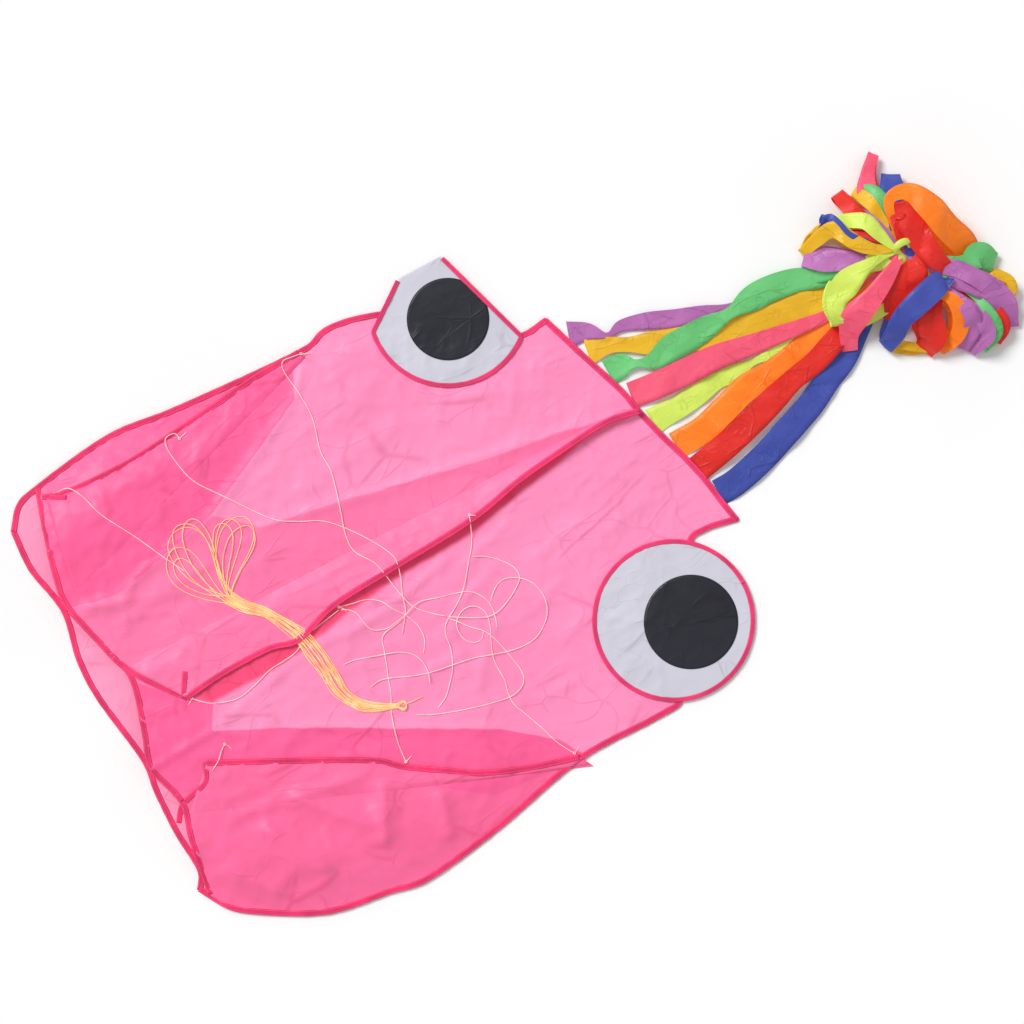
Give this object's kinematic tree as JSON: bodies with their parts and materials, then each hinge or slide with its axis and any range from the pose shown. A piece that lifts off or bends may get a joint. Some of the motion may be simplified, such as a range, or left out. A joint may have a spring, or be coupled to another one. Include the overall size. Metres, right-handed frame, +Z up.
{
  "type": "octopus kite",
  "caption": "Frameless octopus kite of pink ripstop, laid belly up: two skins over ribs, folded keels, bridle lines, round eyes, and coloured streamers tied in a bundle.",
  "frame": {"origin": "on the floor, under the middle of the whole kite as it is laid out with its streamers bundled", "axes": "+X from the open mouth along the kite to the streamers and their bundle, +Y across the kite towards its left side as it lies belly up, +Z up off the floor"},
  "size_m": [1.5059, 0.819, 0.0637],
  "materials": {
    "belly_cloth": "semi-gloss ripstop nylon",
    "back_cloth": "semi-gloss ripstop nylon",
    "rib_cloth": "semi-gloss ripstop nylon",
    "keel_cloth": "semi-gloss ripstop nylon",
    "binding": "folded nylon tape, stitched",
    "eye_white": "semi-gloss nylon",
    "eye_pupil": "matt nylon",
    "bridle_line": "braided polyester line",
    "hank_line": "braided line, gathered",
    "purple_cloth": "semi-gloss nylon ribbon",
    "gold_cloth": "semi-gloss nylon ribbon",
    "green_cloth": "semi-gloss nylon ribbon",
    "rose_cloth": "semi-gloss nylon ribbon",
    "lime_cloth": "semi-gloss nylon ribbon",
    "orange_cloth": "semi-gloss nylon ribbon",
    "red_cloth": "semi-gloss nylon ribbon",
    "blue_cloth": "semi-gloss nylon ribbon"
  },
  "bodies": {
    "kite_body": {"back_sheet": "back_cloth", "belly_sheet": "belly_cloth", "rib_left_outer": "rib_cloth", "rib_left_inner": "rib_cloth", "rib_middle": "rib_cloth", "rib_right_inner": "rib_cloth", "rib_right_outer": "rib_cloth", "mouth_binding_back": "binding", "mouth_binding_belly": "binding", "side_binding_left": "binding", "side_binding_right": "binding", "rear_binding": "binding", "middle_keel": "keel_cloth", "middle_keel_binding": "binding", "left_eye_white": "eye_white", "left_eye_pupil": "eye_pupil", "left_eye_binding": "binding", "right_eye_white": "eye_white", "right_eye_pupil": "eye_pupil", "right_eye_binding": "binding", "line_left_front": "bridle_line", "line_left_middle": "bridle_line", "line_left_rear": "bridle_line", "line_middle_front": "bridle_line", "line_middle_centre": "bridle_line", "line_middle_slack": "bridle_line", "line_middle_rear": "bridle_line", "line_right_middle": "bridle_line", "line_right_rear": "bridle_line", "tow_line": "bridle_line", "line_loop_upper": "bridle_line", "line_loop_lower": "bridle_line", "line_hank_slack": "bridle_line", "bridle_hank": "hank_line", "hank_tail": "hank_line"},
    "left_keel": {"left_keel": "keel_cloth", "left_keel_binding": "binding"},
    "right_keel": {"right_keel": "keel_cloth", "right_keel_binding": "binding", "line_right_front": "bridle_line"},
    "tail": {"purple_streamer": "purple_cloth", "purple_streamer_bundle": "purple_cloth", "gold_streamer": "gold_cloth", "gold_streamer_bundle": "gold_cloth", "green_streamer": "green_cloth", "green_streamer_bundle": "green_cloth", "rose_streamer": "rose_cloth", "rose_streamer_bundle": "rose_cloth", "lime_streamer": "lime_cloth", "lime_streamer_bundle": "lime_cloth", "orange_streamer": "orange_cloth", "orange_streamer_bundle": "orange_cloth", "red_streamer": "red_cloth", "red_streamer_bundle": "red_cloth", "blue_streamer": "blue_cloth", "blue_streamer_bundle": "blue_cloth", "bundle_tie": "lime_cloth"}
  },
  "joints": [
    {"name": "tail_lift", "type": "hinge", "parent": "kite_body", "child": "tail", "pos_m": [0.17, 0.0535, 0.0012], "axis": [0.2705, -0.9627, 0], "range_deg": [0, 90]},
    {"name": "left_keel_fold", "type": "hinge", "parent": "kite_body", "child": "left_keel", "pos_m": [-0.47, 0.2865, 0.02055], "axis": [0.9444, 0.3261, -0.0411], "range_deg": [0, 90], "deforming": ["line_left_front", "line_left_middle", "line_left_rear"]},
    {"name": "right_keel_fold", "type": "hinge", "parent": "kite_body", "child": "right_keel", "pos_m": [-0.426, -0.267, 0.01886], "axis": [0.9339, -0.3559, -0.0341], "range_deg": [0, 90], "deforming": ["line_right_middle", "line_right_rear"]}
  ]
}
